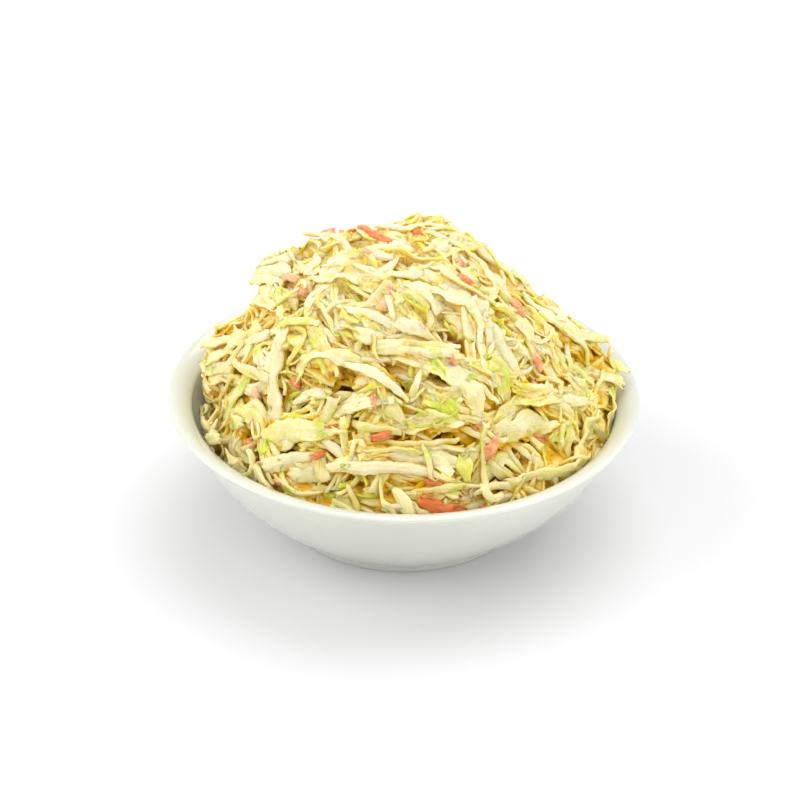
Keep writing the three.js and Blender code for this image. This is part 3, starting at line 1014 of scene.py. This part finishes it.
def draw_green(azimuth, polar):
    return dict(
        heading=slope_for(azimuth, polar),
        length=pick(8, 26), width=pick(1.4, 3.4), thickness=pick(0.5, 0.8),
        bend=about(0.6), waver=pick(0.2, 0.5), ends=either_end(-2.0, 1.5, 0.3),
        roll=about(0.45), twist=about(0.8), cup=about(0.5), ruffle=pick(0.1, 0.6),
        ragged=pick(0.25, 0.45), torn=pick(0.8, 2.5), taper=pair(0.3, 0.9),
        tone=pick(), green=pick(0.5, 1.0),
    )


def draw_crumb(azimuth, polar):
    """A crumb lies any way round, wherever it is."""
    return dict(
        heading=pick(0, 2 * math.pi),
        length=pick(3, 7), width=pick(1.3, 3.0), thickness=pick(0.8, 1.4),
        bend=about(0.3), waver=0.2, ends=either_end(-0.6, 0.8, 0.4), roll=about(0.5),
        ragged=0.3, taper=pair(0.3, 0.8), across=4, step=1.1,
        tone=pick(0.3, 1.0), green=pick_green(),
    )


def draw_carrot(azimuth, polar):
    return dict(
        heading=slope_for(azimuth, polar),
        length=pick(3, 6.5), width=pick(1.4, 2.4), thickness=pick(1.2, 1.9),
        bend=about(0.2), waver=0.1, ends=either_end(-1.2, 0.6, 0.2), roll=about(0.3),
        ragged=0.22, torn=1.4, ridges=0.28, taper=pair(0.7, 1.0), lumps=0.25, across=6,
        step=0.9, tone=pick(0.2, 0.9),
    )


RIB = Kind("cabbage_ribs", lay_piece, draw_rib)
SHRED = Kind("cabbage_shreds", lay_piece, draw_shred)
BUNDLE = Kind("cabbage_fibres", lay_bundle, draw_bundle)
STRAND = Kind("cabbage_strands", lay_piece, draw_strand)
LEAF = Kind("cabbage_leaves", lay_piece, draw_leaf)
GREEN = Kind("green_cabbage", lay_piece, draw_green)
CRUMB = Kind("cabbage_crumbs", lay_piece, draw_crumb)
CARROT = Kind("carrot_pieces", lay_piece, draw_carrot)

# ---- laying the heap ----

MIX = [
    *[SHRED] * 13, *[BUNDLE] * 5, *[STRAND] * 8, *[RIB] * 3, *[LEAF] * 3, *[GREEN] * 2,
    CRUMB, CARROT,
]
EDGE_MIX = [SHRED, SHRED, STRAND, LEAF, CRUMB]
# The first half of the pieces hardly shows, so it has fewer stations.
DEEP_STEP, UPPER_STEP = 2.7, 1.3
# The pockets are kept open by the pieces that come after this share of them.
UNDER_POCKETS = 0.45
# The ring along the wall: its polar angles, and the room that a piece needs there.
EDGE_BAND = (1.50, 1.68)
EDGE_ROOM = 1.5


def fill_heap():
    for k, (azimuth, polar) in enumerate(places(PIECES_AT_RANDOM)):
        if k == int(UNDER_POCKETS * PIECES_AT_RANDOM):
            set_hollows()
        step = DEEP_STEP if k < 0.5 * PIECES_AT_RANDOM else UPPER_STEP
        MIX[rng.integers(len(MIX))].scatter(azimuth, polar, step=step)


def lay_edge_pieces():
    """A ragged ring of small pieces in the gap between the heap and the bowl's wall."""
    kept = field.high.copy()
    for azimuth in np.linspace(-np.pi, np.pi, EDGE_PIECES, endpoint=False):
        azimuth = azimuth + pick(-0.03, 0.03)
        polar = pick(*EDGE_BAND)
        spot = heap_point(direction(azimuth, polar), np.array(0.0))
        room = clear_radius(spot[2]) - math.hypot(spot[0], spot[1])
        if room > EDGE_ROOM:
            EDGE_MIX[rng.integers(len(EDGE_MIX))].scatter(
                azimuth, polar, heading=about(0.6) + math.pi * rng.integers(2),
                length=pick(6, 17), lift=max(room - pick(0.6, 3.8), 0.0),
            )
    field.high = kept


# The pieces that show most, the upper ones later: kind, then azimuth, polar angle, heading
# and bend in degrees, length, width, lift, arch, and tone, which is None where it's random.
SHOWN_CABBAGE = [
    (STRAND, 63, 22, -137, -2, 21, 2.6, 0.4, 0.4, 0.9),
    (STRAND, 57, 19, -119, -48, 22, 2.4, 0.6, 0.4, 0.8, dict(ends=(0.5, -1.5))),
    (SHRED, 138, 31, 145, -21, 14, 3.6, 1, 0.3, 0.8, dict(ends=(2, -1.5))),
    (SHRED, 149, 22, 67, -19, 24, 3.6, 0.8, 0.4, 0.9),
    (SHRED, 172, 46, 40, 0, 24, 4.6, 0.8, 0, 0.8, dict(ends=(4.5, -1.5))),
    (SHRED, 171, 54, 36, 0, 22, 4.2, 0.8, 0, 0.8, dict(ends=(4, -1.5))),
    (SHRED, 179, 68, 54, -8, 26, 4.4, 1.2, 0.3, 0.9, dict(ends=(1.5, -1.5))),
    (SHRED, -177, 70, 49, -12, 26, 4, 1, 0.3, 0.8),
    (SHRED, -171, 71, 47, -2, 30, 4.4, 1, 0.3, 1),
    (STRAND, -156, 65, 8, 30, 25, 2.8, 1.4, 0.6, 1),
    (STRAND, -144, 43, 31, -19, 24, 3, 1.4, 0.5, 1),
    (LEAF, 4, 73, -78, 10, 20, 8, 1, 0, None, dict(green=1, ends=(-1, 6), ragged=0.4)),
    (SHRED, 2, 80, 70, 0, 17, 3.6, 1.6, 0, 0.8, dict(ends=(-1, 7))),
    (LEAF, -10, 86, -150, -50, 22, 6, 3, 0, None, dict(green=1, ragged=0.4)),
    (LEAF, -2, 77, -72, 0, 18, 7, 1, 0, None, dict(green=0.6, ends=(-1.5, 6))),
    (SHRED, -2, 61, -81, -53, 30, 3.6, 2.2, 0.8, 0.9),
    (SHRED, 2, 66, -50, -15, 20, 5, 1.6, 0, 0.8, dict(ends=(-1, 5))),
    (SHRED, 166, 45, 51, -21, 30, 6, 0.8, 0.5, 0.9),
    (SHRED, -176, 48, 32, 0, 22, 5, 0.8, 0.3, 0.8),
    (LEAF, -134, 19, 21, -11, 28, 9, 0.8, 0.4, 1),
    (SHRED, -82, 16, 17, 18, 17, 3, 0.7, 0.3, 0.9),
    (SHRED, -121, 16, -10, 13, 18, 3, 0.6, 0.2, 0.8),
    (LEAF, -68, 24, -36, -15, 18, 7, 0.7, 0.3, 1),
    (SHRED, -78, 25, -43, -13, 14, 3.4, 0.6, 0.2, 0.3),
    (SHRED, -108, 32, -13, 9, 26, 3.2, 1, 0.4, 1),
    (STRAND, -93, 30, -82, 0, 14, 2.2, 1.1, 0.3, 1),
    (SHRED, 23, 26, -70, 19, 40, 3, 0.4, 0.2, None, dict(green=0.8)),
    (SHRED, -13, 22, -133, 19, 18, 3.5, 0.7, 0.2, 0.8),
    (SHRED, -35, 21, -90, 4, 25, 3.2, 0.8, 0.3, 0.8),
    (SHRED, -3, 30, -142, -98, 34, 3, 0.6, 0.2, 0.6),
    (SHRED, -79, 36, -32, -30, 16, 4.6, 1, 0.4, 1),
    (LEAF, -26, 49, -124, -3, 14, 6, 0.5, 0.2, None, dict(green=0.4)),
    (SHRED, -43, 42, -119, -7, 14, 4, 0.8, 0.2, 0.9),
    (LEAF, -45, 34, -89, -125, 32, 6.4, 1.2, 0.3, 1, dict(cup=-0.8)),
    (BUNDLE, -43, 47, -161, 6, 25, 4, 0.7, 0.3, 0.9, dict(fibres=2)),
    (SHRED, -35, 51, -63, -13, 12, 3, 0.8, 0.2, 0.8),
    (SHRED, -12, 53, -126, -29, 13, 3.5, 0.5, 0.2, 0.5),
    (SHRED, 12, 59, -54, -23, 26, 4, 0.6, 0.3, 0.5),
    (SHRED, -22, 56, -47, 15, 19, 4, 0.5, 0.2, None, dict(green=0.5)),
    (SHRED, -11, 65, -120, -30, 16, 3.5, 0.5, 0.2, 0.6),
    (RIB, 2, 62, -49, 4, 42, 5, 0.8, 0.6, 1),
    (SHRED, 11, 77, 38, -67, 19, 5, 0.5, 0.3, 0.5),
    (GREEN, -3, 85, 13, 3, 17, 4, 0.8, 0.3, 0.5),
    (SHRED, -2, 76, -20, -17, 44, 5, 0.8, 0.3, 0.6),
    (RIB, -4, 83, -60, -50, 14, 5, 1, 0.3, 0.9),
    (LEAF, -50, 66, 7, -22, 20, 7, 0.5, 0.2, 0.4, dict(green=0.8)),
    (BUNDLE, -37, 66, -28, 24, 29, 6.5, 0.8, 0.4, 0.8, dict(fibres=4)),
    (RIB, -22, 75, -45, -2, 32, 4, 0.8, 0.4, 0.9),
    (SHRED, -30, 74, -49, -26, 17, 4, 0.6, 0.2, 0.7),
    (LEAF, -50, 58, -78, -39, 14, 6, 0.4, 0.1, 0.3, dict(green=0.9)),
    (GREEN, -85, 51, -116, -31, 10, 2.6, 0.2, 0.1, 0.3),
    (SHRED, -83, 53, -110, 6, 12, 2.6, 0.6, 0.2, 0.9),
    (LEAF, -65, 56, -70, -9, 28, 8, 0.8, 0.4, 0.9),
    (LEAF, -78, 47, -31, -63, 51, 5.2, 1, 0.6, 0.7, dict(green=0.9)),
    (BUNDLE, -80, 42, -4, -5, 34, 5, 0.9, 0.3, 0.9, dict(fibres=3)),
    (LEAF, -121, 48, 28, -90, 33, 6.2, 1.4, 0.8, 0.8, dict(ragged=0.3)),
    (RIB, -97, 51, -30, -36, 26, 3.4, 2, 0.8, 0.8, dict(ragged=0.2)),
    (SHRED, -156, 75, 63, 0, 27, 5, 0.8, 0.3, 0.7),
    (RIB, -139, 61, -84, -12, 42, 6.4, 1.2, 0.6, 0.6, dict(ragged=0.2)),
    (STRAND, -147, 62, 2, -30, 34, 2.6, 1.4, 0.6, 1),
    (STRAND, -98, 66, -3, -7, 20, 2.4, 0.5, 0.2, 0.7),
    (LEAF, -80, 64, -4, -10, 26, 7, 0.8, 0.4, 0.9),
    (STRAND, -65, 70, -45, -17, 13, 2.4, 0.7, 0.2, 0.9),
    (BUNDLE, -88, 72, -2, -4, 44, 5, 0.5, 0.3, 0.3, dict(fibres=3)),
    (LEAF, -122, 71, 22, -4, 38, 8, 1, 0.6, 1, dict(taper=(0.1, 0.5))),
    (LEAF, -47, 72, -10, -20, 31, 9, 1, 0.5, 1, dict(cup=-0.8)),
    (GREEN, -71, 78, -81, 0, 9, 4, 0.6, 0.2, 0.5),
    (RIB, -125, 81, 30, -11, 32, 5.4, 0.6, 0.4, 0.9, dict(ridges=0.3)),
    (RIB, -92, 77, 1, -29, 54, 4.4, 1, 0.8, 0.9, dict(ridges=0.3)),
    (SHRED, -79, 82, 6, -20, 20, 2.6, 0.8, 0.4, 0.9),
    (LEAF, -29, 85, -5, -4, 46, 7.5, 0.3, 0.3, 0.5, dict(green=0.6)),
    (LEAF, -44, 86, 0, -6, 44, 6.5, 0.2, 0.3, 0.4, dict(green=0.8)),
    (CARROT, -79, 87, -13, 0, 17, 5.6, 1.6, 0, 0, dict(roll=0, stiff=40)),
]
# Small pieces of carrot: azimuth, polar angle and heading, length, width and lift, and tone.
SHOWN_CARROTS = [
    ((-35, 33, -110), (7, 3.6, 0.9), 0.5), ((-28, 25, -100), (6.5, 3, 0.8), 0.4),
    ((-17, 42, -104), (7, 2.4, 0.7), 0.7), ((-31, 58, -95), (7.5, 2.4, 0.7), 0.5),
    ((-95, 23, -89), (6, 3, 0.8), 0.6), ((-98, 28, -72), (5, 3, 0.5), 0.9),
    ((-177, 36, 40), (10, 2.8, 0.7), 0.8), ((-156, 34, 3), (6, 2.6, 0.4), 0.5),
    ((-62, 74, -130), (8, 3.6, 0.9), 0.5), ((-96, 68, 4), (7, 3, 0.4), 0.2),
    ((-145, 68, -55), (5, 3.2, 0.5), 0.9), ((-131, 59, -33), (4, 3, 0), 0.2),
    ((-98, 59, -87), (5, 3.4, 0.6), 0.7), ((-67, 48, -93), (4, 2, 0.4), 0.5),
    ((-115, 76, 29), (4.5, 2.6, 0.2), 0.2), ((-124, 86, 6), (5, 2.6, 0.3), 0.7),
    ((-80, 81, -15), (5, 2.6, 0.2), 0.2), ((-7, 21, -142), (4, 2.2, 0.6), 0.6),
    ((56, 13, -146), (4, 2.6, 0.6), 0.2), ((-153, 10, 29), (5, 2.2, 0.4), 0.8),
]
SHOWN_ON_TOP = [
    (LEAF, 126, 19, 84, -10, 24, 5, 2.6, 0, 0.9, dict(ragged=0.3)),
    (CARROT, 129, 13, 101, 0, 21, 3.4, 1.8, 0, 0.2, dict(
        stiff=60, waver=0, ends=(0, 0), taper=(0.2, 0.7), lumps=0, ragged=0.06, torn=0.5, ridges=0.1
    )),
]
SHOWN = [
    *SHOWN_CABBAGE,
    *((CARROT, *spot, 0, *size, 0, tone) for spot, size, tone in SHOWN_CARROTS),
    *SHOWN_ON_TOP,
]


# Pieces over this length show which way the sweeps run.
SWEEP_LENGTH = 11


def set_flow():
    """The sweeps follow the pieces that show, and turn at random round the back."""
    for _, azimuth, polar, heading, _, length, *_ in SHOWN:
        if length > SWEEP_LENGTH:
            flow.add(math.radians(azimuth), math.radians(polar), math.radians(heading))
    for azimuth, polar in places(SWEEPS_AT_RANDOM):
        if math.sin(azimuth) > -0.1:
            flow.add(azimuth, polar, pick(-0.9, 0.9))


def lay_shown_pieces():
    for kind, azimuth, polar, heading, bend, length, width, lift, arch, tone, *more in SHOWN:
        settings = dict(
            heading=math.radians(heading), bend=math.radians(bend) / 2, length=length,
            width=width, lift=lift, arch=arch, ends=(-1.5, -1.5), ceiling=1.2, step=1.1,
            waver=0.1, kinks=0, shown=True,
        )
        if kind is not BUNDLE:
            settings.update(roll=0.0, twist=0.2)
        if tone is not None:
            settings["tone"] = tone
        for extra in more:
            settings.update(extra)
        kind.scatter(math.radians(azimuth), math.radians(polar), **settings)


def lay_crossing_strands():
    """Short thin strands over all the rest."""
    for azimuth, polar in places(CROSSING_STRANDS):
        STRAND.scatter(azimuth, polar, ceiling=1.6, length=pick(8, 24), width=pick(1, 2))


def core_directions():
    polar = np.linspace(*CORE_POLAR, CORE_ROWS)[:, None]
    azimuth = np.linspace(0, 2 * np.pi, CORE_TURNS, endpoint=False)[None]
    return direction(azimuth + 0 * polar, polar + 0 * azimuth)


def core_heights(d):
    """The core lies just under the pieces, less far on the crown, and falls away into the
    open pockets."""
    crown = np.clip((d[..., 2] - 0.70) / 0.25, 0, 1)
    high = field.read(d) - CORE_SINK * (1 - 0.7 * crown)
    high = high + smooth(smooth(rng.normal(size=high.T.shape), 3).T)
    for middle, reach in zip(hollow_places, hollow_reach):
        off = np.arccos(np.clip(d @ middle, -1, 1)) / (reach + 1.0 / HEAP_RADIUS)
        high = high - POCKET_DEPTH * np.exp(-(off**2))
    return high


def core_piece(d, high):
    """The fine chopped salad and dressing that fill the heap up to just under its shreds."""
    rows, turns = high.shape
    points = heap_point(d, high)
    radius = np.maximum(np.hypot(points[..., 0], points[..., 1]), 1e-6)
    most = clear_radius(points[..., 2]) - 0.5
    bumps = 0.8 * smooth(smooth(rng.normal(size=(turns, rows)), 6).T, 6)
    fill = (FILL_HEIGHT + 0.5 * FILL_FADE - points[..., 2]) / FILL_FADE + bumps
    wanted = np.maximum(radius, np.clip(fill, 0, 1) * most)
    points[..., :2] *= (np.minimum(wanted, most) / radius)[..., None]
    peak = heap_point(np.array([0.0, 0.0, 1.0]), high[0].mean())
    flat = np.concatenate([points.reshape(-1, 3), [peak, CORE_BASE]])
    # How far the core lies under the pile's top, which sets its painted shade.
    depth = np.append(field.read(d) - high, [0.0, 0.0])
    core = mesh_object("slaw_core", flat, tube_faces(rows, turns), {"depth": depth})
    core.data.flip_normals()
    return core


# ---- floor, light and camera ----

# The floor reaches this far each way.
FLOOR_SIZE = 3000.0
WORLD_LIGHT = 0.7
# Where each broad soft light comes from, its strength, its spread in degrees and colour.
WHITE = (1.0, 1.0, 1.0)
LIGHTS = {
    "overhead": ((0.26, 0.45, 1.0), 1.35, 55.0, WHITE),
    "key": ((-0.24, -0.62, 1.0), 0.3, 40.0, (1.0, 0.99, 0.97)),
    "left": ((-1.0, -0.10, 0.5), 1.5, 60.0, WHITE),
    "right": ((1.0, -0.3, 0.12), 1.3, 60.0, WHITE),
}
# Where the camera aims and how far off it is, its angles in degrees, and its lens.
CAMERA_AIM = (-1.48, 0.0, 46.5)
CAMERA_DISTANCE = 800.0
CAMERA_ELEVATION = 31.19
CAMERA_ROLL = 1.085
CAMERA_LENS = 93.8


def add_floor():
    signs = [(-1, -1), (1, -1), (1, 1), (-1, 1)]
    corners = [(x * FLOOR_SIZE, y * FLOOR_SIZE, 0) for x, y in signs]
    floor = mesh_object("floor", corners, [[0, 1, 2, 3]], smooth_shading=False)
    floor.data.materials.append(floor_material())


def add_light():
    world = bpy.data.worlds.new("studio")
    world.use_nodes = True
    background = world.node_tree.nodes["Background"]
    background.inputs["Color"].default_value = (*WHITE, 1.0)
    background.inputs["Strength"].default_value = WORLD_LIGHT
    bpy.context.scene.world = world
    for name, (toward, strength, spread, colour) in LIGHTS.items():
        lamp = bpy.data.lights.new(name, "SUN")
        lamp.energy = strength
        lamp.angle = math.radians(spread)
        lamp.color = colour
        item = add_object(name, lamp)
        item.rotation_mode = "QUATERNION"
        item.rotation_quaternion = (-Vector(toward)).to_track_quat("-Z", "Y")


def add_camera():
    elevation = math.radians(CAMERA_ELEVATION)
    forward = Vector((0.0, math.cos(elevation), -math.sin(elevation)))
    camera = bpy.data.cameras.new("camera")
    camera.lens = CAMERA_LENS
    camera.sensor_width = 36.0
    camera.clip_start = 0.01
    camera.clip_end = 20.0
    item = add_object("camera", camera)
    item.location = (Vector(CAMERA_AIM) - forward * CAMERA_DISTANCE) * MM
    item.rotation_mode = "QUATERNION"
    roll = Quaternion((0.0, 0.0, 1.0), math.radians(CAMERA_ROLL))
    item.rotation_quaternion = forward.to_track_quat("-Z", "Y") @ roll
    bpy.context.scene.camera = item


# ---- putting it together ----


def main():
    add_camera()
    add_light()
    add_floor()
    bpy.context.scene.view_settings.view_transform = "Standard"

    bowl = bowl_piece()
    bowl.data.materials.append(glaze_material())
    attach(bowl, "root")
    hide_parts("bowl")

    set_flow()
    fill_heap()
    lay_edge_pieces()
    lay_shown_pieces()
    lay_crossing_strands()
    field.soften(2)
    around = core_directions()
    high = core_heights(around)
    # The spread and softened heights give each piece's depth, which sets its painted shade.
    field.spread(2)
    field.soften(4)
    core = core_piece(around, high)
    core.data.materials.append(core_material())
    rib_looks = cabbage_material("cabbage_rib", linear(229, 217, 156), linear(239, 230, 202))
    shred_looks = cabbage_material("cabbage_shred", linear(227, 214, 132))
    strand_looks = cabbage_material("cabbage_strand", linear(225, 209, 118))
    leaf_looks = cabbage_material("cabbage_leaf", linear(225, 215, 131))
    green_looks = cabbage_material(
        "green_leaf",
        body=linear(214, 212, 80),
        pale=linear(232, 228, 124),
        # The colour of the painted shade in the hollows.
        hollow_shade_colour=linear(204, 170, 36),
        lime=linear(184, 200, 58),
    )
    made = [
        core,
        RIB.build(rib_looks),
        SHRED.build(shred_looks),
        BUNDLE.build(shred_looks),
        STRAND.build(strand_looks),
        LEAF.build(leaf_looks),
        GREEN.build(green_looks),
        CRUMB.build(shred_looks),
        CARROT.build(carrot_material()),
    ]
    for piece in made:
        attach(piece, "root")
        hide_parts("coleslaw")


main()
